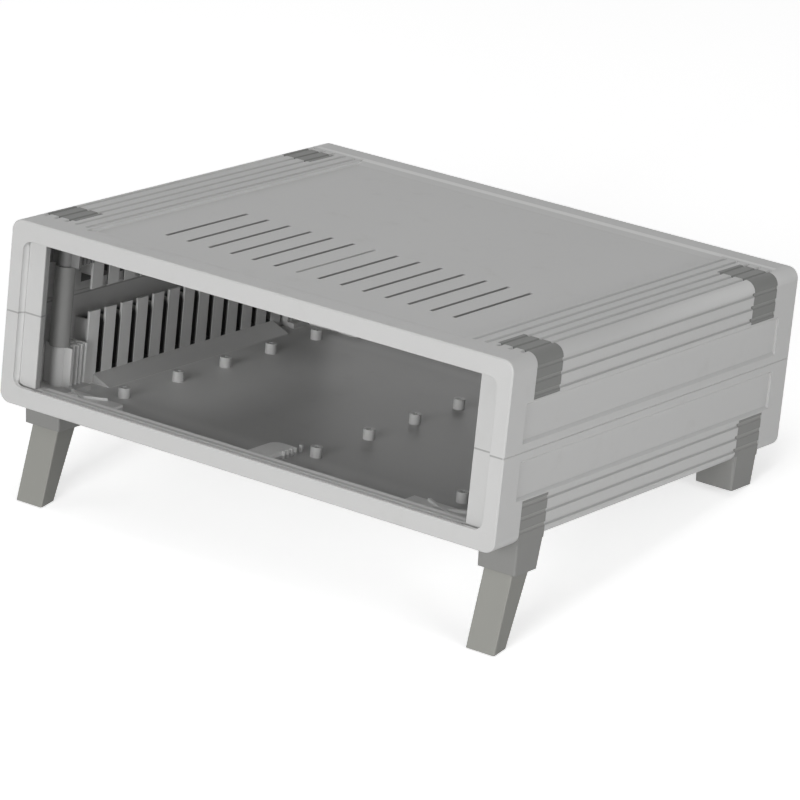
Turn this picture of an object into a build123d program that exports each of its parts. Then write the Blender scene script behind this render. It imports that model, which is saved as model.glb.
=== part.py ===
"""Desktop enclosure of two light plastic shells on folding tilt legs.

Everything is drawn in the frame of the case itself and then stood on its legs:
X runs across the width, Y from the front face to the back, Z up from the underside.
All lengths are in millimetres and all angles in degrees.
"""

from build123d import *
from math import acos, atan2, cos, hypot, radians, sin, tan
import os

# Case outline
case_width = 314.7
case_depth = 277.2
case_height = 100.0
edge_radius = 6.2
face_bevel = 0.7
seam_bevel = 0.45
side_wall = 5.05
floor_thickness = 3.0
roof_thickness = 2.8

# Rims around the front and rear openings
rim_side_depth = 16.0
rim_top_flat = 12.5
rim_top_slope = 8.5
rim_wall = 11.8
window_border_side = 8.35
window_border = 10.3
window_radius = 5.5
window_recess = 4.0
window_cove = 3.4
strip_width = 12.0
strip_thickness = 4.0
panel_groove_start = 2.0
panel_groove_width = 3.5
panel_groove_depth = 2.5
panel_groove_inset = 1.5

# Recessed top panel and the grooved bands beside it
roof_recess = 1.7
roof_band_width = 38.85
groove_pitch = 7.0
roof_groove_count = 5
roof_groove_edge = 7.35
roof_groove_start = 17.0
side_groove_count = 3
side_groove_first = 7.0
groove_depth = 1.2
groove_mouth = 2.4
groove_bottom = 1.2
side_panel_recess = 1.5
band_edge = 24.5
band_bevel = 1.3
seam_strip_half = 4.5

# Vent slots in the roof
vent_count = 14
vent_pitch = 14.0
vent_width = 1.8
vent_start = 45.4
vent_length = 71.2
blind_vent = 6
blind_vent_depth = 0.9

# Guide ribs along the side walls
guide_margin = 46.0
guide_pitch = 14.0
guide_width = 9.2
guide_reach = 12.3
guide_seam_gap = 6.3
guide_plate = 1.3
guide_web = 1.6
guide_web_drop = 6.0
ledge_top = 8.0
ledge_run = 12.0
ledge_start = 57.0
tongue_height = 2.0
tongue_thickness = 1.5
tongue_fit = 0.2

# Screw columns in the four corners
screw_side_inset = 13.35
screw_y = 31.0
tower_top = 28.0
tower_tube = 8.4
tower_fin_count = 4
tower_fin_pitch = 3.6
tower_fin_first = 4.2
tower_fin_thickness = 1.4
tower_fin_reach = 6.8
tower_gusset_reach = 9.2
column_diameter = 11.0
screw_diameter = 4.0
screw_clearance = 0.2
screw_pilot_clearance = 0.05
screw_tip = 88.0
screw_head_diameter = 7.6
screw_head_height = 1.9
screw_head_rim = 0.3
screw_drive_width = 3.4
screw_drive_depth = 1.3
pilot_end_gap = 2.0

# Standoffs and raised details on the floor
standoff_left_inset = 44.35
standoff_middle = 13.0
standoff_right_inset = 52.85
standoff_rows_y = (50.0, 97.5, 140.0, 182.0, 225.0)
standoff_diameter = 6.4
standoff_height = 5.8
standoff_bore = 2.4
standoff_bore_depth = 5.0
corner_pad_right_inset = 69.85
corner_pad_left_inset = 57.85
corner_pad_depth = 31.7
corner_pad_top = 6.0
tower_base_width = 19.8
tower_base_end = 46.5
middle_pad_left = -9.5
middle_pad_right = 3.2
middle_pad_end = 44.5
middle_pad_top = 7.0
middle_pad_corner = 5.5
middle_fin_count = 4
middle_fin_first = 33.8
middle_fin_pitch = 3.3
middle_fin_thickness = 1.2
middle_fin_reach = 1.4
middle_post_y = 50.4
middle_post_width = 1.8
cross_inset = 22.5
cross_y = 23.0
cross_length = 30.0
cross_thickness = 1.6
cross_rise = 1.4
cross_angle = 31.0

# Corner covers over the upper long edges
cover_start = 22.0
cover_length = 23.5
cover_width = 24.35
cover_bottom = 76.5
cover_thickness = 2.0
cover_groove_depth = 0.55
cover_fit = 0.1

# Feet under the lower long edges
foot_width = 23.35
foot_plate_top = 23.5
foot_seat = 3.0
foot_bottom = -16.5
foot_front_taper = 1.2
foot_rear_taper = 2.0
foot_outer_taper = 0.5
foot_corner = 1.2
foot_ceiling = -1.0
access_bore = 8.6

# Tilt legs on hinge pins
leg_inset = 2.5
leg_width = 17.3
leg_side_gap = 0.3
pivot_y = 33.5
pivot_z = -10.3
leg_knuckle = 6.0
leg_knee_y = 41.2
leg_knee_z = -17.2
leg_front_slope = 12.4
leg_toe_length = 11.0
leg_stop_gap = 0.3
leg_edge = 0.6
pin_diameter = 4.0
pin_fit = 0.05
pin_outer_cover = 1.0
lean_angle = 10.0

# Anti-slip pads
pad_thickness = 1.6
pad_proud = 0.6
pad_margin = 1.6
pad_fit = 0.1
rear_pad_edge_gap = 1.0

half_width = case_width / 2
seam_height = case_height / 2
side_wall_inner = half_width - side_wall
window_half_width = half_width - window_border_side
opening_half_width = window_half_width - strip_width
panel_groove_half = window_half_width - panel_groove_inset
roof_recess_half = half_width - roof_band_width
roof_underside = case_height - roof_recess - roof_thickness
cover_inner = half_width - cover_width
cover_end = cover_start + cover_length
foot_inner = half_width - foot_width
leg_inner = foot_inner + leg_inset
screw_x = half_width - screw_side_inset
corner_pad_ends = (half_width - corner_pad_right_inset, half_width - corner_pad_left_inset)
guide_tip = side_wall_inner - guide_reach
guide_top = seam_height - guide_seam_gap
guide_count = int((case_depth - 2 * guide_margin - guide_width) // guide_pitch) + 1
guide_first = (case_depth - (guide_count - 1) * guide_pitch - guide_width) / 2
standoff_rows_x = (standoff_left_inset - half_width, standoff_middle, half_width - standoff_right_inset)
screw_hole = screw_diameter + 2 * screw_clearance
pilot_hole = screw_diameter + 2 * screw_pilot_clearance
column_top = case_height - tower_top


def box(x0, x1, y0, y1, z0, z1):
    """Solid box between two corners."""
    return Pos((x0 + x1) / 2, (y0 + y1) / 2, (z0 + z1) / 2) * Box(x1 - x0, y1 - y0, z1 - z0)


def along_y(points, y0, y1):
    """Prism of an outline given as (x, z), running from y0 to y1."""
    face = make_face(Polyline([(x, y0, z) for x, z in points], close=True))
    return extrude(face, amount=y1 - y0, dir=(0, 1, 0))


def along_x(points, x0, x1):
    """Prism of an outline given as (y, z), running from x0 to x1."""
    face = make_face(Polyline([(x0, y, z) for y, z in points], close=True))
    return extrude(face, amount=x1 - x0, dir=(1, 0, 0))


def tube(x, y, diameter, z0, z1):
    """Upright cylinder between two heights."""
    return Pos(x, y, (z0 + z1) / 2) * Cylinder(diameter / 2, z1 - z0)


def crosswise(radius, x0, x1):
    """Cylinder along the hinge of the tilt leg between two distances from the centre."""
    return Pos((x0 + x1) / 2, pivot_y, pivot_z) * Rot(Y=90) * Cylinder(radius, x1 - x0)


def both_sides(solids):
    """The given solids and their mirror images on the other side of the case."""
    return solids + [mirror(s, about=Plane.YZ) for s in solids]


def both_ends(solids):
    """The given solids and their mirror images at the other end of the case."""
    middle = Plane(origin=(0, case_depth / 2, 0), z_dir=(0, 1, 0))
    return solids + [mirror(s, about=middle) for s in solids]


def flipped(solid):
    """The solid turned upside down about the seam."""
    return mirror(solid, about=Plane(origin=(0, 0, seam_height), z_dir=(0, 0, 1)))


def groove_points(depth, position, vertical):
    """Outline of one groove in a side face (vertical) or in the underside."""
    mouth, bottom = groove_mouth / 2, groove_bottom / 2
    spread = mouth + (mouth - bottom) / depth * face_bevel
    if vertical:
        outer = half_width + face_bevel
        inner = half_width - depth
        return [(outer, position - spread), (outer, position + spread), (inner, position + bottom),
                (inner, position - bottom)]
    return [(position - spread, -face_bevel), (position + spread, -face_bevel), (position + bottom, depth),
            (position - bottom, depth)]


def side_groove_heights():
    """Heights of the grooves in the lower band of a side face."""
    return [side_groove_first + i * groove_pitch for i in range(side_groove_count)]


def roof_groove_places():
    """Distances from the centre of the grooves beside the roof panel."""
    return [half_width - roof_groove_edge - i * groove_pitch for i in range(roof_groove_count)]


def shell_blank():
    """Lower half of the outer block with its rounded long edges."""
    block = box(-half_width, half_width, 0, case_depth, 0, case_height)
    long_edges = block.edges().filter_by(Axis.Y)
    block = fillet(long_edges, edge_radius)
    ends = block.faces().filter_by(Axis.Y)
    block = chamfer(ends.edges(), face_bevel)
    return block & box(-half_width, half_width, 0, case_depth, 0, seam_height)


def side_recess():
    """Cut of the recessed side panel between the rims and the seam bevel."""
    recess = half_width - side_panel_recess
    outer = half_width + face_bevel
    slope = band_bevel / side_panel_recess * face_bevel
    points = [(outer, band_edge - slope), (recess, band_edge + band_bevel),
              (recess, seam_height - seam_strip_half - side_panel_recess),
              (outer, seam_height - seam_strip_half + face_bevel)]
    panel = along_y(points, rim_side_depth, case_depth - rim_side_depth)
    seam = along_y([(half_width - seam_bevel, seam_height), (outer, seam_height - seam_bevel - face_bevel),
                    (outer, seam_height)], 0, case_depth)
    return [panel, seam]


def window_cuts():
    """Cuts of one end opening: coved recess, clear opening and panel grooves."""
    top = case_height - window_border
    recess = box(-window_half_width, window_half_width, -window_recess, window_recess, window_border, top)
    recess = fillet(recess.edges().filter_by(Axis.Y), window_radius)
    back = recess.faces().sort_by(Axis.Y)[-1]
    recess = fillet(back.edges(), window_cove)
    opening = box(-opening_half_width, opening_half_width, -1, rim_wall + 1, window_border, top)
    behind = box(-side_wall_inner, side_wall_inner, window_recess + strip_thickness, rim_wall + 1,
                 window_border, top)
    groove = box(-panel_groove_half, panel_groove_half, panel_groove_start,
                 panel_groove_start + panel_groove_width, window_border - panel_groove_depth, seam_height)
    groove -= box(-panel_groove_half, panel_groove_half, window_recess, case_depth, window_border,
                  seam_height)
    return [recess, opening, behind, groove]


def guide_rib(index):
    """Guide rib with a T section: a tall plate on a lower web against the right side wall."""
    y0 = guide_first + index * guide_pitch
    middle = y0 + guide_width / 2
    base = floor_thickness - 1
    plate = box(guide_tip, guide_tip + guide_plate, y0, y0 + guide_width, base, guide_top)
    web = box(guide_tip + guide_plate / 2, side_wall_inner + 1, middle - guide_web / 2,
              middle + guide_web / 2, base, guide_top - guide_web_drop)
    return plate + web


def ledge():
    """Raised ledge with a sloped inner flank under the guide ribs of the right side."""
    slope = (ledge_top - floor_thickness) / ledge_run
    toe = guide_tip - ledge_run - 1 / slope
    points = [(toe, floor_thickness - 1), (guide_tip, ledge_top), (side_wall_inner + 1, ledge_top),
              (side_wall_inner + 1, floor_thickness - 1)]
    return along_y(points, ledge_start, case_depth - ledge_start)


def tower():
    """Finned screw tower in the front right corner of a shell."""
    base = floor_thickness - 1
    parts = [tube(screw_x, screw_y, tower_tube, base, tower_top),
             box(screw_x, side_wall_inner + 1, screw_y - tower_fin_thickness / 2,
                 screw_y + tower_fin_thickness / 2, base, tower_top),
             box(screw_x - tower_gusset_reach, screw_x, screw_y - tower_fin_thickness / 2,
                 screw_y + tower_fin_thickness / 2, base, tower_top),
             box(screw_x - tower_fin_thickness / 2, screw_x + tower_fin_thickness / 2, screw_y,
                 screw_y + tower_fin_first + (tower_fin_count - 1) * tower_fin_pitch, base, tower_top)]
    for i in range(tower_fin_count):
        y = screw_y + tower_fin_first + i * tower_fin_pitch
        parts.append(box(screw_x - tower_fin_reach, side_wall_inner + 1, y - tower_fin_thickness / 2,
                         y + tower_fin_thickness / 2, base, tower_top))
    return parts


def shell_body():
    """Lower shell without its own floor details; the upper shell is the same form turned over."""
    shell = shell_blank()
    cuts = both_sides(side_recess())
    for z in side_groove_heights():
        groove = along_y(groove_points(groove_depth, z, True), cover_end - 1, case_depth - cover_end + 1)
        cuts += both_sides([groove])
    for x in roof_groove_places():
        groove = along_y(groove_points(groove_depth, x, False), roof_groove_start,
                         case_depth - roof_groove_start)
        cuts += both_sides([groove])
    cuts += both_ends(window_cuts())
    cuts.append(box(-side_wall_inner, side_wall_inner, rim_wall, case_depth - rim_wall, floor_thickness,
                    case_height))
    shell -= cuts
    additions = both_sides([guide_rib(i) for i in range(guide_count)] + [ledge()] + both_ends(tower()))
    return shell + additions


def middle_pad():
    """Raised pad behind the middle of the front rim, finned on its right side, and the post behind it."""
    base = floor_thickness - 1
    pad = box(middle_pad_left, middle_pad_right, rim_wall - 1, middle_pad_end, base, middle_pad_top)
    corner = pad.edges().filter_by(Axis.Z).sort_by(Axis.Y)[-2:].sort_by(Axis.X)[0]
    parts = [fillet(corner, middle_pad_corner)]
    for i in range(middle_fin_count):
        y = middle_fin_first + i * middle_fin_pitch
        parts.append(box(middle_pad_right - 1, middle_pad_right + middle_fin_reach,
                         y - middle_fin_thickness / 2, y + middle_fin_thickness / 2, base, middle_pad_top))
    half = middle_post_width / 2
    parts.append(box(middle_pad_right - half, middle_pad_right + half, middle_post_y - half,
                     middle_post_y + half, base, middle_pad_top))
    return parts


def corner_pad(end):
    """Raised pad in the front right corner, from the side wall inwards to end, with the tower's base."""
    base = floor_thickness - 1
    pad = box(end, side_wall_inner + 1, rim_wall - 1, corner_pad_depth, base, corner_pad_top)
    foot = box(side_wall_inner - tower_base_width, side_wall_inner + 1, corner_pad_depth - 1, tower_base_end,
               base, corner_pad_top)
    return [pad, foot]


def crossed_ribs(end):
    """Two low ribs that cross on the front right corner pad."""
    ribs = []
    for angle in (cross_angle, -cross_angle):
        rib = box(-cross_length / 2, cross_length / 2, -cross_thickness / 2, cross_thickness / 2,
                  corner_pad_top - 1, corner_pad_top + cross_rise)
        ribs.append(Pos(end + cross_inset, cross_y, 0) * Rot(Z=angle) * rib)
    return ribs


def foot_space(grow):
    """Room that the front right foot takes out of the lower shell."""
    y0, y1 = cover_start - grow, cover_end + grow
    outside = half_width + 1
    plate = box(half_width - cover_thickness, outside, y0, y1, -1, foot_plate_top + grow)
    seat = box(foot_inner - grow, outside, y0, y1, -1, foot_seat)
    return [plate, seat]


def build_lower_shell():
    """Lower shell with foot seats, screw holes, corner pads, standoffs and floor bosses."""
    shell = shell_body()
    right, left = [both_ends(corner_pad(end)) + crossed_ribs(end) for end in corner_pad_ends]
    tongue = box(side_wall_inner, side_wall_inner + tongue_thickness, rim_side_depth,
                 case_depth - rim_side_depth, seam_height - 1, seam_height + tongue_height)
    additions = both_sides([tongue]) + right + [mirror(s, about=Plane.YZ) for s in left] + middle_pad()
    cuts = both_sides(both_ends(foot_space(cover_fit)))
    for x in standoff_rows_x:
        for y in standoff_rows_y:
            top = floor_thickness + standoff_height
            additions.append(tube(x, y, standoff_diameter, floor_thickness - 1, top))
            cuts.append(tube(x, y, standoff_bore, top - standoff_bore_depth, top + 1))
    hole = tube(screw_x, screw_y, screw_hole, -1, tower_top + 1)
    return shell + additions - (cuts + both_sides(both_ends([hole])))


def cover_blank(inset, grow, y0, y1):
    """Corner block that reaches from the given inset inwards to the limits of a cover."""
    block = box(-half_width + inset, half_width - inset, y0, y1, inset, case_height - inset)
    block = fillet(block.edges().filter_by(Axis.Y), edge_radius - inset)
    return block & box(cover_inner - grow, half_width + 1, y0, y1, cover_bottom - grow, case_height + 1)


def build_upper_shell():
    """Upper shell with the recessed roof, vents, cover seats and screw pilots."""
    shell = flipped(shell_body())
    slope_end = rim_top_flat + rim_top_slope
    rise = roof_recess / rim_top_slope
    points = [(rim_top_flat - 1 / rise, case_height + 1), (slope_end, case_height - roof_recess),
              (case_depth - slope_end, case_height - roof_recess),
              (case_depth - rim_top_flat + 1 / rise, case_height + 1)]
    cuts = [along_x(points, -roof_recess_half, roof_recess_half)]
    for i in range(vent_count):
        x = (i - (vent_count - 1) / 2) * vent_pitch
        depth = blind_vent_depth if i == blind_vent else roof_thickness + 1
        slot = extrude(SlotOverall(vent_length, vent_width, rotation=90), amount=depth + 1)
        place = Pos(x, vent_start + vent_length / 2, case_height - roof_recess - depth)
        cuts.append(place * slot)
    roof_fill = box(-side_wall_inner, side_wall_inner, rim_wall, case_depth - rim_wall, roof_underside,
                    case_height - floor_thickness)
    seat = cover_blank(-1, cover_fit, cover_start - cover_fit, cover_end + cover_fit)
    seat -= cover_blank(cover_thickness, 2 * cover_thickness, cover_start - 1, cover_end + 1)
    cuts += both_sides(both_ends([seat]))
    rebate = box(side_wall_inner - 1, side_wall_inner + tongue_thickness + tongue_fit,
                 rim_side_depth - tongue_fit, case_depth - rim_side_depth + tongue_fit, seam_height - 1,
                 seam_height + tongue_height + tongue_fit)
    pilot = tube(screw_x, screw_y, pilot_hole, column_top - 1, screw_tip + pilot_end_gap)
    cuts += both_sides([rebate] + both_ends([pilot]))
    return shell + roof_fill - cuts


def build_cover():
    """Front right corner cover with shallow grooves that carry on those of the shell."""
    cover = cover_blank(0, 0, cover_start, cover_end)
    cover -= cover_blank(cover_thickness, 2 * cover_thickness, cover_start - 1, cover_end + 1)
    cuts = []
    for z in side_groove_heights():
        cuts.append(flipped(along_y(groove_points(cover_groove_depth, z, True), 0, case_depth)))
    for x in roof_groove_places():
        cuts.append(flipped(along_y(groove_points(cover_groove_depth, x, False), 0, case_depth)))
    return cover - cuts


def foot_blank():
    """Front right foot without slot or bore: side plate, seat plate and tapered block."""
    block = along_x([(cover_start, 0), (cover_end, 0), (cover_end - foot_rear_taper, foot_bottom),
                     (cover_start + foot_front_taper, foot_bottom)], foot_inner, half_width)
    wedge = along_y([(half_width, 0), (half_width + 1, 0), (half_width + 1, foot_bottom),
                     (half_width - foot_outer_taper, foot_bottom)], cover_start - 1, cover_end + 1)
    block -= wedge
    corners = [e for e in block.edges() if abs(e.center().Z - foot_bottom / 2) < 1]
    block = fillet(corners, foot_corner)
    plate = box(half_width - cover_thickness, half_width, cover_start, cover_end, 0, foot_plate_top)
    seat = box(foot_inner, half_width, cover_start, cover_end, 0, foot_seat)
    grooves = [along_y(groove_points(cover_groove_depth, z, True), 0, case_depth)
               for z in side_groove_heights()]
    return block + [plate, seat] - grooves


def screw_passage():
    """Countersunk clearance hole for a case screw through the seat plate of a foot."""
    head = screw_head_diameter + 2 * screw_clearance
    start = foot_ceiling
    rim_end = start + screw_head_rim + screw_clearance
    cone = Cone(head / 2, screw_hole / 2, screw_head_height)
    return [tube(screw_x, screw_y, screw_hole, start, foot_seat + 1),
            tube(screw_x, screw_y, head, start - 1, rim_end),
            Pos(screw_x, screw_y, rim_end + screw_head_height / 2) * cone]


def leg_front(gap):
    """Front face of a tilt leg, set forward by gap: its start on the knuckle and its direction, as (y, z)."""
    slope = radians(leg_front_slope)
    radius = leg_knuckle + gap
    tangent = (pivot_y - radius * cos(slope), pivot_z + radius * sin(slope))
    return tangent, (-sin(slope), -cos(slope))


def stand_line(y):
    """Height of the table in the frame of the case, below a place y."""
    rear_edge = case_depth - cover_start - foot_front_taper - rear_pad_edge_gap
    return foot_bottom - pad_proud - (rear_edge - y) * tan(radians(lean_angle))


def on_table(point, direction, lift):
    """Point where a line of the leg outline meets the table, raised by lift."""
    y, z = point
    dy, dz = direction
    rise = tan(radians(lean_angle))
    table = stand_line(0) + lift / cos(radians(lean_angle))
    t = (table + rise * y - z) / (dz - rise * dy)
    return (y + t * dy, z + t * dz)


def leg_points():
    """Corners of the leg below the knuckle: front tangent, toe, heel, knee and rear tangent."""
    tangent, down = leg_front(0)
    toe = on_table(tangent, down, pad_proud)
    lean = radians(lean_angle)
    heel = (toe[0] + leg_toe_length * cos(lean), toe[1] + leg_toe_length * sin(lean))
    knee = (leg_knee_y, leg_knee_z)
    reach = hypot(knee[0] - pivot_y, knee[1] - pivot_z)
    angle = atan2(knee[1] - pivot_z, knee[0] - pivot_y) + acos(leg_knuckle / reach)
    rear = (pivot_y + leg_knuckle * cos(angle), pivot_z + leg_knuckle * sin(angle))
    return [tangent, toe, heel, knee, rear]


def build_leg():
    """Right tilt leg in its folded-out position."""
    x0, x1 = leg_inner, leg_inner + leg_width
    points = leg_points()
    leg = along_x(points + [(pivot_y, pivot_z)], x0, x1)
    leg = leg + crosswise(leg_knuckle, x0, x1)
    long_edges = [e for e in leg.edges() if e.center().Z < leg_knee_z and e.length > 2 * leg_width]
    leg = chamfer(long_edges, leg_edge)
    bore = crosswise(pin_diameter / 2 + pin_fit, x0 - 1, x1 + 1)
    return leg - [bore, sole_pad(pad_fit)]


def sole_pad(grow):
    """Pad let into the sole of the right leg, or with grow the room for it."""
    lean = radians(lean_angle)
    toe = leg_points()[1]
    length = leg_toe_length - 2 * pad_margin
    along, up = (cos(lean), sin(lean)), (-sin(lean), cos(lean))

    def corner(a, b):
        """Point at a along the sole and b above it."""
        return (toe[0] + a * along[0] + b * up[0], toe[1] + a * along[1] + b * up[1])

    a0, a1 = pad_margin - grow, pad_margin + length + grow
    depth = pad_thickness - pad_proud
    points = [corner(a0, -pad_proud), corner(a1, -pad_proud), corner(a1, depth), corner(a0, depth)]
    return along_x(points, leg_inner + pad_margin - grow, leg_inner + leg_width - pad_margin + grow)


def build_front_foot():
    """Front right foot with the slot of the tilt leg and the holes of its hinge pin."""
    x0 = leg_inner - leg_side_gap
    x1 = leg_inner + leg_width + leg_side_gap
    tangent, down = leg_front(leg_stop_gap)
    reach = (foot_bottom - 1 - tangent[1]) / down[1]
    low = (tangent[0] + reach * down[0], foot_bottom - 1)
    slot = along_x([low, tangent, (tangent[0], foot_ceiling), (cover_end + 1, foot_ceiling),
                    (cover_end + 1, foot_bottom - 1)], x0, x1)
    pin_end = half_width - foot_outer_taper - pin_outer_cover
    bore = crosswise(pin_diameter / 2, foot_inner - 1, pin_end)
    return foot_blank() - ([slot, bore] + screw_passage())


def build_pin():
    """Hinge pin of the right leg."""
    pin_end = half_width - foot_outer_taper - pin_outer_cover
    return crosswise(pin_diameter / 2, foot_inner, pin_end)


def rear_pad(grow):
    """Pad under the rear right foot, or with grow the room for it."""
    y0 = case_depth - cover_end + foot_rear_taper + pad_margin
    y1 = case_depth - cover_start - foot_front_taper - rear_pad_edge_gap
    return box(foot_inner + pad_margin - grow, half_width - foot_outer_taper - pad_margin + grow, y0 - grow,
               y1 + grow, foot_bottom - pad_proud, foot_bottom + pad_thickness - pad_proud)


def build_rear_foot():
    """Rear right foot: the same block without slot, bored for the screw driver."""
    access = tube(screw_x, screw_y, access_bore, foot_bottom - 1, foot_ceiling)
    foot = foot_blank() - (screw_passage() + [access])
    return both_ends([foot])[1] - rear_pad(pad_fit)


def build_screw():
    """Countersunk case screw of the front right corner with a hexagon socket."""
    start = foot_ceiling + screw_clearance
    rim_end = start + screw_head_rim
    cone_end = rim_end + screw_head_height
    screw = tube(screw_x, screw_y, screw_diameter, rim_end, screw_tip)
    screw += tube(screw_x, screw_y, screw_head_diameter, start, rim_end)
    cone = Cone(screw_head_diameter / 2, screw_diameter / 2, screw_head_height)
    screw += Pos(screw_x, screw_y, (rim_end + cone_end) / 2) * cone
    drive = RegularPolygon(screw_drive_width / 2, 6, major_radius=False)
    socket = Pos(screw_x, screw_y, start - 1) * extrude(drive, amount=screw_drive_depth + 1)
    return screw - socket


def build_column():
    """Distance column between the lower and the upper tower of the front right corner."""
    body = tube(screw_x, screw_y, column_diameter, tower_top, column_top)
    return body - tube(screw_x, screw_y, screw_hole, tower_top - 1, column_top + 1)


def corner_set(name, solid):
    """The four corner pieces made from the front right one, by name."""
    right = both_ends([solid])
    left = [mirror(s, about=Plane.YZ) for s in right]
    names = [name + "_front_right", name + "_rear_right", name + "_front_left", name + "_rear_left"]
    return dict(zip(names, right + left))


def side_pair(name, solid):
    """The right piece and its mirror image on the left, by name."""
    return {name + "_right": solid, name + "_left": mirror(solid, about=Plane.YZ)}


def all_pieces():
    """Every piece of the enclosure by name, in the frame of the case."""
    pieces = {"lower_shell": build_lower_shell(), "upper_shell": build_upper_shell()}
    pieces.update(corner_set("corner_cover", build_cover()))
    pieces.update(corner_set("column", build_column()))
    pieces.update(corner_set("case_screw", build_screw()))
    pieces.update(side_pair("front_foot", build_front_foot()))
    pieces.update(side_pair("rear_foot", build_rear_foot()))
    pieces.update(side_pair("rear_pad", rear_pad(0)))
    pieces.update(side_pair("tilt_leg", build_leg()))
    pieces.update(side_pair("leg_pin", build_pin()))
    pieces.update(side_pair("sole_pad", sole_pad(0)))
    return pieces


def stand_up(pieces):
    """Lean the pieces back onto the legs, with the table at zero height and the middle at the origin."""
    lean = radians(lean_angle)
    drop = stand_line(0) * cos(lean)
    turned = {name: Pos(0, 0, -drop) * Rot(X=-lean_angle) * piece for name, piece in pieces.items()}
    bounds = Compound(children=[p for p in turned.values()]).bounding_box()
    middle = (bounds.min.Y + bounds.max.Y) / 2
    return {name: Pos(0, -middle, 0) * piece for name, piece in turned.items()}


def as_solid(piece):
    """The single solid of a piece."""
    solids = piece.solids()
    assert len(solids) == 1, "a piece fell apart"
    return solids[0]


os.makedirs("parts", exist_ok=True)
for node, piece in stand_up(all_pieces()).items():
    export_step(as_solid(piece), "parts/" + node + ".step")
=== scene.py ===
"""Looks of a light grey desktop enclosure that leans back on its folded-out tilt legs."""

import logging
import math
from dataclasses import dataclass, field
from enum import Enum
from typing import Iterable, Sequence

import bpy
import numpy as np
from mathutils import Matrix, Vector


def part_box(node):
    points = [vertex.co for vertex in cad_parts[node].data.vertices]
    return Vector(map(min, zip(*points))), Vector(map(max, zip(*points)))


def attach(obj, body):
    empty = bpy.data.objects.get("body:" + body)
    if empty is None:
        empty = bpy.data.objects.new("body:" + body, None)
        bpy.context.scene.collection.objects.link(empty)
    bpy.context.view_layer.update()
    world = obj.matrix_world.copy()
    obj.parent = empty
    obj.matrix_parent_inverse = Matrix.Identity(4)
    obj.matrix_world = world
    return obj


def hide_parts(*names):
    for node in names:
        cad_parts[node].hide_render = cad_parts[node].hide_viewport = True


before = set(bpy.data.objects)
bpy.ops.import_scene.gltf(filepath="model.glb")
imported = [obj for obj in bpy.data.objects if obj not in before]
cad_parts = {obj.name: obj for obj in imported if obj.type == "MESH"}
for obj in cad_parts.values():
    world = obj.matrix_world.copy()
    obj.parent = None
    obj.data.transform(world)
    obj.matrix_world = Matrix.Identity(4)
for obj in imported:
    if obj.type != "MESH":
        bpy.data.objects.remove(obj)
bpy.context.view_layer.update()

log = logging.getLogger("enclosure")

MM = 0.001
WHITE = (1.0, 1.0, 1.0, 1.0)
CORNERS = ("front_right", "rear_right", "front_left", "rear_left")
SIDES = ("right", "left")
LEAN = math.radians(10.0)

Colour = tuple[float, float, float]
Range = tuple[float, float]
Socket = bpy.types.NodeSocket


def linear(colour: Colour) -> tuple[float, float, float, float]:
    """Turn a display colour of 0 to 1 into the linear colour that Blender's sockets hold.

    Args:
        colour: red, green and blue as seen on a display.

    Returns:
        Linear red, green, blue and an alpha of 1.
    """
    values = np.asarray(colour, float)
    out = np.where(values <= 0.04045, values / 12.92, ((values + 0.055) / 1.055) ** 2.4)
    return (*map(float, out), 1.0)


class Num:
    """A number that varies over a surface: an output socket with Python's arithmetic on it."""

    def __init__(self, graph: "Graph", socket: Socket) -> None:
        """Wrap an output socket of the graph's tree."""
        self.graph = graph
        self.socket = socket

    def math(self, operation: str, *others: "Num | float") -> "Num":
        """Apply one Math operation to this number and the others, in that order."""
        return self.graph.math(operation, self, *others)

    def __add__(self, other: "Num | float") -> "Num":
        """Sum of the two."""
        return self.math("ADD", other)

    __radd__ = __add__

    def __sub__(self, other: "Num | float") -> "Num":
        """This number less the other."""
        return self.math("SUBTRACT", other)

    def __rsub__(self, other: float) -> "Num":
        """A plain number less this one."""
        return self.graph.math("SUBTRACT", other, self)

    def __mul__(self, other: "Num | float") -> "Num":
        """Product of the two."""
        return self.math("MULTIPLY", other)

    __rmul__ = __mul__

    def __truediv__(self, other: "Num | float") -> "Num":
        """This number divided by the other."""
        return self.math("DIVIDE", other)

    def between(self, low: float, high: float) -> "Num":
        """Smooth step that is 0 below low and 1 above high."""
        node = self.graph.node("ShaderNodeMapRange", {"interpolation_type": "SMOOTHSTEP"},
                               {"Value": self, "From Min": low, "From Max": high})
        return Num(self.graph, node.outputs["Result"])

    def within(self, low: float, high: float, soft: float) -> "Num":
        """1 between low and high, fading to 0 over the soft distance at both ends."""
        return self.between(low - soft, low + soft) * (1 - self.between(high - soft, high + soft))


# Numbers of the Mix node's colour sockets, which share their names with its other kinds of socket
COLOUR_A, COLOUR_B, COLOUR_RESULT = 6, 7, 2


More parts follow.
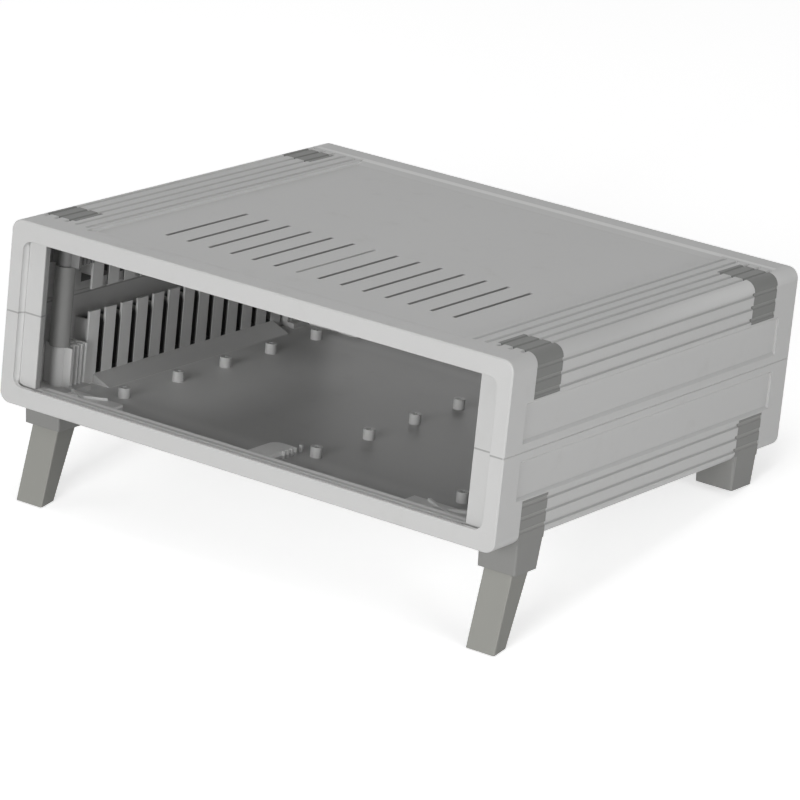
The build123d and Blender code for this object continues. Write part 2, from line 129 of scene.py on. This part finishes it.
class Graph:
    """Node tree of one material or world, with one method that makes any node."""

    def __init__(self, owner: bpy.types.Material | bpy.types.World) -> None:
        """Empty the tree of a material or world and give it its output."""
        self.owner = owner
        owner.use_nodes = True
        self.tree = owner.node_tree
        self.tree.nodes.clear()
        world = isinstance(owner, bpy.types.World)
        self.output = self.node("ShaderNodeOutputWorld" if world else "ShaderNodeOutputMaterial")

    @classmethod
    def named(cls, name: str) -> "Graph":
        """Graph of a new material of that name."""
        return cls(bpy.data.materials.new(name))

    def node(self, kind: str, settings: dict | None = None, inputs: dict | None = None) -> bpy.types.Node:
        """Make a node, set its settings first and then its sockets.

        Args:
            kind: Blender's name of the node type.
            settings: attribute values, such as a Math node's operation.
            inputs: socket name or number to a value, a Num or an output socket.

        Returns:
            The new node.
        """
        made = self.tree.nodes.new(kind)
        for key, value in (settings or {}).items():
            setattr(made, key, value)
        for key, value in (inputs or {}).items():
            socket = made.inputs[key]
            if isinstance(value, Num):
                self.tree.links.new(value.socket, socket)
            elif isinstance(value, Socket):
                self.tree.links.new(value, socket)
            else:
                socket.default_value = value
        return made

    def math(self, operation: str, *values: "Num | float") -> Num:
        """One Math node on the given values."""
        made = self.node("ShaderNodeMath", {"operation": operation}, dict(enumerate(values)))
        return Num(self, made.outputs[0])

    def place(self, turn: Sequence[float] = (0, 0, 0), stretch: Sequence[float] = (1, 1, 1)) -> Socket:
        """Object coordinates, turned by degrees about each axis and stretched.

        Args:
            turn: rotation about X, Y and Z in degrees.
            stretch: factor along each axis.

        Returns:
            The vector socket of the mapping.
        """
        coordinates = self.node("ShaderNodeTexCoord")
        mapping = self.node("ShaderNodeMapping", {}, {
            "Vector": coordinates.outputs["Object"],
            "Rotation": tuple(math.radians(a) for a in turn), "Scale": tuple(stretch)})
        return mapping.outputs["Vector"]

    def noise(self, place: Socket, size: float, detail: float = 2.0, roughness: float = 0.5) -> Num:
        """Cloudy noise whose blotches are about size metres across."""
        made = self.node("ShaderNodeTexNoise", {}, {
            "Vector": place, "Scale": 1.0 / size, "Detail": detail, "Roughness": roughness})
        return Num(self, made.outputs["Fac"])

    def cells(self, place: Socket, size: float) -> Num:
        """Distance to the nearest of scattered points that are about size metres apart."""
        made = self.node("ShaderNodeTexVoronoi", {"feature": "F1"}, {"Vector": place, "Scale": 1.0 / size})
        return Num(self, made.outputs["Distance"])

    def blend(self, factor: "Num | float", low: object, high: object, kind: str = "MIX") -> Socket:
        """Colour that goes from low to high with the factor.

        Args:
            factor: 0 gives low, 1 gives high.
            low: colour or colour socket.
            high: colour or colour socket.
            kind: blend type of the Mix node.

        Returns:
            The colour socket of the mix.
        """
        made = self.node("ShaderNodeMix", {"data_type": "RGBA", "blend_type": kind},
                         {0: factor, COLOUR_A: low, COLOUR_B: high})
        return made.outputs[COLOUR_RESULT]

    def rounded(self, radius: float) -> Socket:
        """Normal that is turned near an edge, as if the edge had that small radius."""
        made = self.node("ShaderNodeBevel", {"samples": 4}, {"Radius": radius})
        return made.outputs["Normal"]

    def bump(self, height: Num, strength: float, distance: float, normal: Socket | None = None) -> Socket:
        """Normal tilted by a height pattern.

        Args:
            height: pattern of 0 to 1.
            strength: share of the effect.
            distance: height of the pattern in metres.
            normal: normal to start from.

        Returns:
            The normal socket.
        """
        inputs: dict = {"Height": height, "Strength": strength, "Distance": distance}
        if normal is not None:
            inputs["Normal"] = normal
        return self.node("ShaderNodeBump", {}, inputs).outputs["Normal"]

    def seen(self) -> Num:
        """1 for rays from the camera, from reflections and through clear matter, and 0 for the rest."""
        path = self.node("ShaderNodeLightPath")
        camera, glossy, clear = (Num(self, path.outputs[f"Is {kind} Ray"])
                                 for kind in ("Camera", "Glossy", "Transmission"))
        return camera.math("MAXIMUM", glossy).math("MAXIMUM", clear)

    def close(self, shader: Socket) -> None:
        """Lead a shader to the surface of the material or world."""
        self.tree.links.new(shader, self.output.inputs["Surface"])

    def surface(self, **inputs: object) -> bpy.types.Material:
        """Close the graph with a Principled surface and give back the material.

        Args:
            inputs: socket names with underscores for spaces, and their values or links.

        Returns:
            The finished material.
        """
        sockets = {name.replace("_", " "): value for name, value in inputs.items()}
        made = self.node("ShaderNodeBsdfPrincipled", {}, sockets)
        self.close(made.outputs["BSDF"])
        return self.owner


def shaded(colour: Colour, share: float) -> tuple[float, float, float, float]:
    """Linear colour of a display colour, darker or lighter by a share and at most 1."""
    return tuple(min(1.0, part * share) for part in linear(colour)[:3]) + (1.0,)


@dataclass(frozen=True)
class MouldedPlastic:
    """Spark-eroded moulded plastic: fine dimples, slight haze, handling marks and dust."""

    name: str
    colour: Colour
    dust: Colour
    grain: float = 0.00042
    grain_depth: float = 0.000018
    roughness: float = 0.46
    edge: float = 0.00035
    haze: float = 0.035
    dusty: float = 0.10
    specked: float = 0.12

    def add_painted_light(self, graph: Graph, colour: Socket) -> Socket:
        """Colour after the painted light and shade of single blocks, which a plain moulding doesn't have.
        """
        return colour

    def build(self) -> bpy.types.Material:
        """Make the material of this finish."""
        graph = Graph.named(self.name)
        place = graph.place()
        dimples = graph.cells(place, self.grain)
        ripple = graph.noise(place, self.grain * 2.3, 3.0, 0.6)
        flow = graph.noise(graph.place(turn=(8.0, 0.0, 3.0), stretch=(1.0, 0.35, 1.0)), 0.09, 3.0, 0.55)
        marks = graph.noise(graph.place(turn=(0.0, 12.0, 25.0)), 0.016, 5.0, 0.62).between(0.56, 0.80)
        specks = graph.noise(place, 0.0011, 1.0).between(0.70, 0.80)
        height = dimples * 0.7 + ripple * 0.5
        shade = (flow - 0.5) * self.haze + (ripple - 0.5) * (0.5 * self.haze)
        deep, pale = shaded(self.colour, 0.90), shaded(self.colour, 1.08)
        colour = graph.blend(shade * 6.0 + 0.5, deep, pale)
        colour = graph.blend(marks * self.dusty, colour, linear(self.dust))
        # painted light and shade are laid over the colour here
        colour = self.add_painted_light(graph, graph.blend(specks * self.specked, colour, deep))
        rough = self.roughness + (flow - 0.5) * 0.10 + marks * 0.10 - dimples * 0.05
        normal = graph.bump(height, 0.55, self.grain_depth, graph.rounded(self.edge))
        return graph.surface(Base_Color=colour, Roughness=rough, Normal=normal, Specular_IOR_Level=0.38)


@dataclass(frozen=True)
class PaintedLightZone:
    """Block of the case whose colour is multiplied by a share of painted light or painted shade, in
    millimetres from its middle, front and base.
    """

    across: Range
    depth: Range
    height: Range
    # share above 1 is painted light and share below 1 is painted shade
    tone: float
    soft: tuple[float, float, float] = (0.12, 0.12, 0.12)
    mirrored: bool = True
    pitch: float = 0.0
    span: float = 0.0

    def mask(self, x: Num, y: Num, z: Num) -> Num:
        """1 inside the block and 0 outside it.

        With a pitch, the distance across is measured from the nearest middle between two whole
        multiples of the pitch, as the share of x in the pitch less its whole part and a half, and
        the pattern ends at the span on both sides of the case's middle.

        Args:
            x: distance to the right of the middle of the shaded point, in metres.
            y: depth behind the front.
            z: height above the base.

        Returns:
            The product of the three ranges.
        """
        kept: Num | float = 1.0
        if self.pitch:
            kept = x.within(-self.span * MM, self.span * MM, self.soft[0] * MM)
            x = ((x / (self.pitch * MM)).math("FRACT") - 0.5) * (self.pitch * MM)
        if self.mirrored:
            x = x.math("ABSOLUTE")
        ranges = zip((x, y, z), (self.across, self.depth, self.height), self.soft)
        parts = [value.within(low * MM, high * MM, soft * MM) for value, (low, high), soft in ranges]
        return parts[0] * parts[1] * parts[2] * kept


@dataclass(frozen=True)
class CaseFrame:
    """Frame of the leaned case: X to the right, Y from its front, Z up from its base."""

    lean: float = LEAN
    middle: float = 145.177 * MM
    drop: float = 60.774 * MM

    def place(self, graph: Graph) -> tuple[Num, Num, Num]:
        """Place of the shaded point in the case's own frame.

        The middle is added to Y and the drop taken off Z, and both are turned back about X by
        the lean.

        Args:
            graph: node tree that takes the nodes.

        Returns:
            Distance across, depth and height in metres.
        """
        parts = graph.node("ShaderNodeSeparateXYZ", {}, {"Vector": graph.place()})
        x, y, z = (Num(graph, parts.outputs[axis]) for axis in "XYZ")
        ahead, above = y + self.middle, z - self.drop
        c, s = math.cos(self.lean), math.sin(self.lean)
        return x, ahead * c - above * s, ahead * s + above * c


@dataclass(frozen=True)
class ShellPaintedLight:
    """Places of the shells where light and shade are painted into the colour, with the sizes that they
    share, in millimetres.
    """

    middle: float = -1.0
    opening: float = 133.6
    guide_tip: float = 140.0
    wall_face: float = 153.0
    guide_pitch: float = 14.0
    guide_first: float = 50.0
    guide_width: float = 9.2
    first_pocket: float = 56.0
    last_pocket: float = 221.2
    # number of guide plates that take painted light
    guides_with_painted_light: int = 6
    vent_depths: Range = (45.2, 116.8)
    vent_heights: Range = (95.4, 98.6)
    vent_span: float = 95.0
    pad_end: float = 46.6
    lip_heights: Range = (10.0, 10.6)

    def seam(self) -> tuple[PaintedLightZone, ...]:
        """Painted shade: a dark line where the shells meet."""
        return (PaintedLightZone((self.middle, 156.7), (-5.0, 280.0), (49.55, 50.45), 0.66),)

    def slots(self) -> tuple[PaintedLightZone, ...]:
        """Painted shade that makes the pockets between the webs of the lower and of the upper guide ribs
        nearly black.
        """
        across, depth = (self.guide_tip + 0.25, self.wall_face), (self.first_pocket, self.last_pocket)
        return (PaintedLightZone(across, depth, (2.9, 37.0), 0.16, (0.12, 0.12, 2.5)),
                PaintedLightZone(across, depth, (56.4, 97.1), 0.16))

    def plates(self) -> tuple[PaintedLightZone, ...]:
        """Painted light on the plates of the lower guide ribs, strongest at the front."""
        starts = [self.guide_first + self.guide_pitch * i for i in range(self.guides_with_painted_light)]
        return tuple(PaintedLightZone((self.guide_tip - 0.15, self.guide_tip + 0.2),
                          (start - 0.3, start + self.guide_width + 0.3), (3.0, 44.5), 1.42 - 0.08 * i)
                     for i, start in enumerate(starts))

    def towers(self) -> tuple[PaintedLightZone, ...]:
        """Painted shade on the upper and painted light on the lower screw towers."""
        across = (133.0, self.wall_face)
        return (PaintedLightZone(across, (20.0, 48.0), (71.9, 97.3), 0.45),
                PaintedLightZone(across, (34.6, 48.0), (6.1, 28.1), 1.42))

    def vents(self) -> tuple[PaintedLightZone, ...]:
        """Painted shade on the walls of the vent slots, and painted light that makes the blind one in the
        middle paler than the rest.
        """
        soft = (0.1, 0.3, 0.1)
        return (PaintedLightZone((self.middle, 1.2), self.vent_depths, self.vent_heights, 0.55, soft,
                     pitch=self.guide_pitch, span=self.vent_span),
                PaintedLightZone((-8.2, -5.8), self.vent_depths, self.vent_heights, 1.75, soft, mirrored=False))

    def floor(self) -> tuple[PaintedLightZone, ...]:
        """Painted shade on the floor, and painted light on its left part and on the sloped ledges under the
        guide ribs.
        """
        return (PaintedLightZone((self.middle, 135.0), (46.9, 232.0), (2.5, 3.2), 0.88, (1.0, 6.0, 0.05)),
                PaintedLightZone((-160.0, -68.0), (46.9, 180.0), (2.5, 3.2), 1.60, (26.0, 30.0, 0.05), mirrored=False),
                PaintedLightZone((126.5, self.guide_tip + 0.1), (57.0, 220.2), (3.3, 8.1), 1.15))

    def raised(self) -> tuple[PaintedLightZone, ...]:
        """Painted light on the low pads behind the front rim and on the standoffs behind them."""
        return (PaintedLightZone((self.middle, 131.0), (12.2, self.pad_end), (4.6, 8.6), 1.55),
                PaintedLightZone((self.middle, 126.0), (self.pad_end + 0.2, 230.0), (3.4, 9.3), 1.14))

    def edges(self) -> tuple[PaintedLightZone, ...]:
        """Painted shade on the ends of the side strips, and a painted highlight on the rounded long edges,
        growing towards the rear.
        """
        return (PaintedLightZone((136.8, 137.2), (4.7, 12.5), (10.0, 90.0), 0.55),
                PaintedLightZone((150.0, 157.5), (150.0, 280.0), (93.6, 100.2), 1.24, (1.5, 70.0, 1.0)))

    def lip(self) -> tuple[PaintedLightZone, ...]:
        """Stripes of painted light and painted shade on the lower front rim: its front edge, the panel
        groove and the top behind it.
        """
        across = (self.middle, self.opening)
        return (PaintedLightZone(across, (0.3, 2.2), self.lip_heights, 1.42, (0.3, 0.3, 0.1)),
                PaintedLightZone(across, (5.3, 5.62), (7.4, 9.6), 1.30),
                PaintedLightZone(across, (5.65, 7.2), self.lip_heights, 0.84, (0.3, 0.3, 0.1)),
                PaintedLightZone(across, (8.4, 11.6), self.lip_heights, 1.42, (0.3, 0.6, 0.1)))

    def roof(self) -> tuple[PaintedLightZone, ...]:
        """Painted highlight on the slope up to the rear rim, and painted light on the left edge of the roof
        panel.
        """
        return (PaintedLightZone((self.middle, 150.0), (261.7, 265.3), (97.0, 100.6), 1.27, (0.5, 0.6, 0.2)),
                PaintedLightZone((-119.4, -117.3), (17.0, 260.0), (98.0, 99.8), 1.20, (0.3, 0.5, 0.3), mirrored=False))

    def every(self) -> tuple[PaintedLightZone, ...]:
        """All painted light and shade of the shells, in the order in which it is laid."""
        return (*self.seam(), *self.slots(), *self.towers(), *self.plates(), *self.vents(), *self.floor(),
                *self.raised(), *self.edges(), *self.lip(), *self.roof())


@dataclass(frozen=True)
class PlasticWithPaintedLight(MouldedPlastic):
    """Moulded plastic with blocks of painted light and painted shade in its colour."""

    painted_light_zones: tuple[PaintedLightZone, ...] = ()

    def add_painted_light(self, graph: Graph, colour: Socket) -> Socket:
        """Multiply the colour by each block's share of painted light or shade.

        Args:
            graph: node tree of the material.
            colour: colour before the tones.

        Returns:
            The toned colour.
        """
        place = CaseFrame().place(graph)
        for zone in self.painted_light_zones:
            tone = (zone.tone, zone.tone, zone.tone, 1.0)
            colour = graph.blend(zone.mask(*place), colour, tone, "MULTIPLY")
        return colour


@dataclass(frozen=True)
class PlatedSteel:
    """Bright zinc plated steel with fine turning lines and a faint cloudy sheen."""

    name: str = "plated_steel"
    colour: Colour = (0.76, 0.76, 0.77)

    def build(self) -> bpy.types.Material:
        """Make the material of this finish."""
        graph = Graph.named(self.name)
        lines = graph.noise(graph.place(stretch=(1.0, 1.0, 0.08)), 0.0005, 2.0, 0.7)
        cloud = graph.noise(graph.place(), 0.004, 4.0, 0.6)
        colour = graph.blend(cloud.between(0.35, 0.75), linear(self.colour), shaded(self.colour, 0.72))
        rough = 0.26 + lines * 0.14 + cloud * 0.10
        return graph.surface(Base_Color=colour, Metallic=1.0, Roughness=rough,
                             Normal=graph.bump(lines, 0.35, 0.00002))


@dataclass(frozen=True)
class SoftRubber:
    """Matt dark rubber with a powdery bloom and scuffs from the table."""

    name: str = "soft_rubber"
    colour: Colour = (0.16, 0.16, 0.16)
    bloom: Colour = (0.36, 0.36, 0.35)

    def build(self) -> bpy.types.Material:
        """Make the material of this finish."""
        graph = Graph.named(self.name)
        place = graph.place()
        powder = graph.noise(place, 0.003, 5.0, 0.65)
        grit = graph.noise(place, 0.0004, 2.0, 0.6)
        scuffs = graph.noise(graph.place(turn=(0, 0, 35), stretch=(1.0, 0.2, 1.0)), 0.0025, 3.0, 0.6)
        colour = graph.blend(powder.between(0.45, 0.85) * 0.35, linear(self.colour), linear(self.bloom))
        colour = graph.blend(scuffs.between(0.60, 0.75) * 0.25, colour, linear(self.bloom))
        rough = 0.72 + (powder - 0.5) * 0.2
        return graph.surface(Base_Color=colour, Roughness=rough, Normal=graph.bump(grit, 0.6, 0.00004),
                             Specular_IOR_Level=0.3)


DARK_DUST = (0.60, 0.59, 0.57)
PLATE_FACE = (156.3, 157.22)


class Finish(Enum):
    """The finishes of the enclosure, each with the recipe that makes it."""

    # the shell plastic carries the painted light and shade laid out for the shells
    SHELL = PlasticWithPaintedLight("shell_plastic_painted_light", (0.775, 0.775, 0.772), (0.66, 0.65, 0.63),
                         painted_light_zones=ShellPaintedLight().every())
    # darker copy of the shell plastic: painted shade on the distance columns
    COLUMN_PAINTED_SHADE = MouldedPlastic("column_plastic_painted_shade", (0.565, 0.565, 0.560), DARK_DUST)
    # painted light on the cover faces that lifts the shade of their grooves
    COVER = PlasticWithPaintedLight("cover_plastic_painted_light", (0.475, 0.478, 0.470), (0.58, 0.57, 0.55), roughness=0.52,
                         painted_light_zones=(PaintedLightZone(PLATE_FACE, (0.0, 280.0), (76.0, 93.5), 1.28),))
    # painted light in the grooves of the foot faces and on the front face of the rear feet
    FOOT = PlasticWithPaintedLight("foot_plastic_painted_light", (0.520, 0.520, 0.512), DARK_DUST, roughness=0.52,
                        painted_light_zones=(PaintedLightZone(PLATE_FACE, (0.0, 280.0), (3.0, 23.2), 1.28),
                               PaintedLightZone((133.0, 158.0), (231.4, 234.2), (-17.5, 3.0), 1.28)))
    # painted shade on the side faces of the legs
    LEG = PlasticWithPaintedLight("leg_plastic_painted_shade", (0.575, 0.575, 0.555), (0.66, 0.65, 0.62), roughness=0.50,
                       painted_light_zones=(PaintedLightZone((153.65, 154.0), (0.0, 120.0), (-70.0, 20.0), 0.78),
                              PaintedLightZone((136.3, 136.65), (0.0, 120.0), (-70.0, 20.0), 0.74)))
    STEEL = PlatedSteel()
    RUBBER = SoftRubber()


class Paintbox:
    """Makes each finish once and hands out its material."""

    def __init__(self) -> None:
        """Start with nothing mixed."""
        self.made: dict[Finish, bpy.types.Material] = {}

    def material(self, finish: Finish) -> bpy.types.Material:
        """The material of a finish, made on first use."""
        if finish not in self.made:
            self.made[finish] = finish.value.build()
            log.info("finish %s", finish.name.lower())
        return self.made[finish]

    def dress(self, nodes: Iterable[str], finish: Finish) -> None:
        """Give CAD nodes a finish through their objects' material slots.

        Args:
            nodes: names of the CAD nodes.
            finish: finish that they all take.
        """
        for name in nodes:
            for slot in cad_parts[name].material_slots:
                slot.material = self.material(finish)
            log.info("dressed %s", name)


def mesh_piece(name: str, points: np.ndarray, faces: np.ndarray, smooth: bool = True) -> bpy.types.Object:
    """Put computed points and quads into a new mesh object at the origin.

    Args:
        name: name of the object and its mesh.
        points: array of shape (n, 3), in metres.
        faces: array of shape (m, 4) of point numbers.
        smooth: whether the faces are shaded smooth.

    Returns:
        The linked object.
    """
    mesh = bpy.data.meshes.new(name)
    mesh.vertices.add(len(points))
    mesh.vertices.foreach_set("co", np.ascontiguousarray(points, np.float32).ravel())
    mesh.loops.add(faces.size)
    mesh.loops.foreach_set("vertex_index", np.ascontiguousarray(faces, np.int32).ravel())
    mesh.polygons.add(len(faces))
    mesh.polygons.foreach_set("loop_start", np.arange(0, faces.size, 4, dtype=np.int32))
    mesh.polygons.foreach_set("use_smooth", np.full(len(faces), smooth))
    mesh.update(calc_edges=True)
    mesh.validate()
    made = bpy.data.objects.new(name, mesh)
    bpy.context.scene.collection.objects.link(made)
    return made


def grid_faces(columns: int, rows: int, start: int = 0, turned: bool = False) -> np.ndarray:
    """Quads of a grid whose points are numbered along the columns first.

    Args:
        columns: points along the first direction.
        rows: points along the second direction.
        start: number of the first point.
        turned: whether the faces look the other way.

    Returns:
        Array of shape ((columns - 1) * (rows - 1), 4).
    """
    i, j = np.meshgrid(np.arange(columns - 1), np.arange(rows - 1), indexing="ij")
    first = (start + j * columns + i).ravel()
    quads = np.stack([first, first + 1, first + columns + 1, first + columns], axis=1)
    return quads[:, ::-1] if turned else quads


@dataclass
class GripPad:
    """Anti-slip pad with crossing grooves in its underside, in place of the plain CAD pad."""

    node: str
    body: str
    lean: float
    length: float
    width: float
    thickness: float
    pitch: float = 2.6 * MM
    groove: float = 0.28 * MM
    columns: int = 85
    rows: int = 67

    def points(self) -> np.ndarray:
        """Points of the underside grid and then of the top grid.

        Both sheets are a square grid whose corners are drawn in by a share of u and v to the
        eighth power. The underside rises into the pad by the groove depth times the larger of
        two ridge waves, each the cosine of the place along a diagonal to a high power, and fades
        out towards the rim.
        """
        u, v = np.meshgrid(np.linspace(-1, 1, self.columns), np.linspace(-1, 1, self.rows))
        pull = 1 - 0.05 * u ** 8 * v ** 8
        x, y = u * pull * self.length / 2, v * pull * self.width / 2
        waves = [np.cos(np.pi * (x + s * y) / self.pitch) ** 2 for s in (1, -1)]
        rim = (1 - np.abs(u) ** 14) * (1 - np.abs(v) ** 14)
        rise = self.groove * np.maximum(*waves) ** 6 * rim
        low = np.stack([x, y, rise - self.thickness / 2], axis=2).reshape(-1, 3)
        high = np.stack([x, y, np.full_like(x, self.thickness / 2)], axis=2).reshape(-1, 3)
        return np.vstack([low, high])

    def faces(self) -> np.ndarray:
        """Quads of both sheets and of the rim that joins them."""
        count = self.columns * self.rows
        numbers = np.arange(count).reshape(self.rows, self.columns)
        ring = np.concatenate([numbers[0, :-1], numbers[:-1, -1], numbers[-1, :0:-1], numbers[:0:-1, 0]])
        after = np.roll(ring, -1)
        rim = np.stack([ring, after, after + count, ring + count], axis=1)
        return np.vstack([grid_faces(self.columns, self.rows, 0, True),
                          grid_faces(self.columns, self.rows, count), rim])

    def build(self, paints: Paintbox) -> bpy.types.Object:
        """Make the pad where the CAD pad is and let it stand for that node.

        Args:
            paints: source of the materials.

        Returns:
            The new pad.
        """
        low, high = (np.array(corner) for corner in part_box(self.node))
        points = self.points() @ np.array(Matrix.Rotation(-self.lean, 3, "X")).T + (low + high) / 2
        made = mesh_piece("grip_" + self.node, points, self.faces(), smooth=False)
        made.data.materials.append(paints.material(Finish.RUBBER))
        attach(made, self.body)
        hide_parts(self.node)
        log.info("built %s", made.name)
        return made


@dataclass
class Shells:
    """The two shells with their distance columns and case screws."""

    shells: tuple[str, ...] = ("upper_shell", "lower_shell")

    def build(self, paints: Paintbox) -> None:
        """Dress the shells and what stands inside them."""
        paints.dress(self.shells, Finish.SHELL)
        # the columns take the darker plastic of painted shade
        paints.dress([f"column_{c}" for c in CORNERS], Finish.COLUMN_PAINTED_SHADE)
        paints.dress([f"case_screw_{c}" for c in CORNERS], Finish.STEEL)


@dataclass
class CornerCovers:
    """The four dark covers over the upper long edges."""

    corners: tuple[str, ...] = CORNERS

    def build(self, paints: Paintbox) -> None:
        """Dress the covers."""
        paints.dress([f"corner_cover_{c}" for c in self.corners], Finish.COVER)


@dataclass
class Feet:
    """Front and rear feet with the grip pads of the rear ones."""

    pad_length: float = 19.65 * MM
    pad_width: float = 17.7 * MM
    pad_thickness: float = 1.6 * MM

    def build(self, paints: Paintbox) -> None:
        """Dress the feet and build the rear pads."""
        paints.dress([f"{end}_foot_{s}" for end in ("front", "rear") for s in SIDES], Finish.FOOT)
        for side in SIDES:
            GripPad(f"rear_pad_{side}", "case", LEAN, self.pad_length, self.pad_width,
                    self.pad_thickness).build(paints)


@dataclass
class TiltLegs:
    """The two folding legs, their hinge pins and the pads in their soles."""

    pad_length: float = 14.1 * MM
    pad_width: float = 7.8 * MM
    pad_thickness: float = 1.6 * MM

    def build(self, paints: Paintbox) -> None:
        """Dress the legs and pins and build the sole pads."""
        paints.dress([f"tilt_leg_{s}" for s in SIDES], Finish.LEG)
        paints.dress([f"leg_pin_{s}" for s in SIDES], Finish.STEEL)
        for side in SIDES:
            GripPad(f"sole_pad_{side}", f"{side}_leg", 0.0, self.pad_length, self.pad_width,
                    self.pad_thickness, columns=61, rows=37).build(paints)


@dataclass(frozen=True)
class SoftLamp:
    """One square studio lamp aimed at the enclosure."""

    name: str
    place: tuple[float, float, float]
    size: float
    power: float
    aim: tuple[float, float, float] = (0.0, 0.0, 0.09)

    def build(self) -> None:
        """Hang the lamp."""
        data = bpy.data.lights.new(self.name, "AREA")
        data.shape = "SQUARE"
        data.size = self.size
        data.energy = self.power
        made = bpy.data.objects.new(self.name, data)
        made.location = self.place
        aim = Vector(self.aim) - Vector(self.place)
        made.rotation_euler = aim.to_track_quat("-Z", "Y").to_euler()
        bpy.context.scene.collection.objects.link(made)


@dataclass
class Studio:
    """Pale floor, soft light and the camera at the photograph's viewing angle."""

    floor_half: float = 6.0
    camera_place: tuple[float, float, float] = (1.3286, -1.8829, 1.1330)
    azimuth: float = 35.23
    elevation: float = 25.23
    roll: float = 0.13
    lens: float = 215.0
    ambient: float = 0.05
    paper: float = 0.80
    glow: float = 0.62
    lamps: tuple[SoftLamp, ...] = field(default_factory=lambda: (
        SoftLamp("front_lamp", (0.3, -2.6, 0.8), 1.3, 43.5),
        SoftLamp("camera_lamp", (1.6, -2.2, 1.3), 1.3, 6.5),
        SoftLamp("right_lamp", (2.6, -0.4, 1.0), 1.3, 22.5),
        SoftLamp("top_lamp", (0.0, 0.0, 3.0), 1.3, 19.5),
        SoftLamp("left_lamp", (-2.0, -0.5, 2.0), 1.3, 8.0),
    ))

    def floor(self) -> None:
        """Lay the floor, which glows white to the camera and to reflections and keeps the soft shadow."""
        corners = np.array([[-1, -1], [1, -1], [-1, 1], [1, 1]]) * self.floor_half
        points = np.column_stack([corners, np.zeros(4)])
        made = mesh_piece("studio_floor", points, np.array([[0, 1, 3, 2]]), smooth=False)
        graph = Graph.named("floor_paper")
        shade = (self.paper, self.paper, self.paper, 1.0)
        paper = graph.node("ShaderNodeBsdfDiffuse", {}, {"Color": shade})
        glow = graph.node("ShaderNodeEmission", {}, {"Color": WHITE, "Strength": graph.seen() * self.glow})
        both = graph.node("ShaderNodeAddShader", {}, {0: paper.outputs[0], 1: glow.outputs[0]})
        graph.close(both.outputs[0])
        made.data.materials.append(graph.owner)

    def sky(self) -> None:
        """Fill the room with even light; the camera and reflections see plain white."""
        graph = Graph(bpy.data.worlds.new("studio_room"))
        level = graph.seen() * (1.0 - self.ambient) + self.ambient
        back = graph.node("ShaderNodeBackground", {}, {"Color": WHITE, "Strength": level})
        graph.close(back.outputs[0])
        bpy.context.scene.world = graph.owner

    def camera(self) -> None:
        """Set the camera up where the photograph was taken from."""
        data = bpy.data.cameras.new("photo_camera")
        data.sensor_width = 36.0
        data.lens = self.lens
        data.clip_end = 30.0
        made = bpy.data.objects.new("photo_camera", data)
        made.location = self.camera_place
        made.rotation_mode = "XYZ"
        turn = (Matrix.Rotation(math.radians(self.azimuth), 3, "Z")
                @ Matrix.Rotation(math.radians(90 - self.elevation), 3, "X")
                @ Matrix.Rotation(math.radians(-self.roll), 3, "Z"))
        made.rotation_euler = turn.to_euler()
        bpy.context.scene.collection.objects.link(made)
        bpy.context.scene.camera = made

    def build(self) -> None:
        """Set up floor, light and camera."""
        self.floor()
        self.sky()
        for lamp in self.lamps:
            lamp.build()
        self.camera()
        bpy.context.scene.view_settings.view_transform = "Standard"
        log.info("studio ready")


def main() -> None:
    """Dress the CAD nodes, build the new pieces and set up the studio."""
    logging.basicConfig(level=logging.INFO, format="%(name)s: %(message)s")
    paints = Paintbox()
    for part in (Shells(), CornerCovers(), Feet(), TiltLegs()):
        part.build(paints)
    Studio().build()


if __name__ == "__main__":
    main()
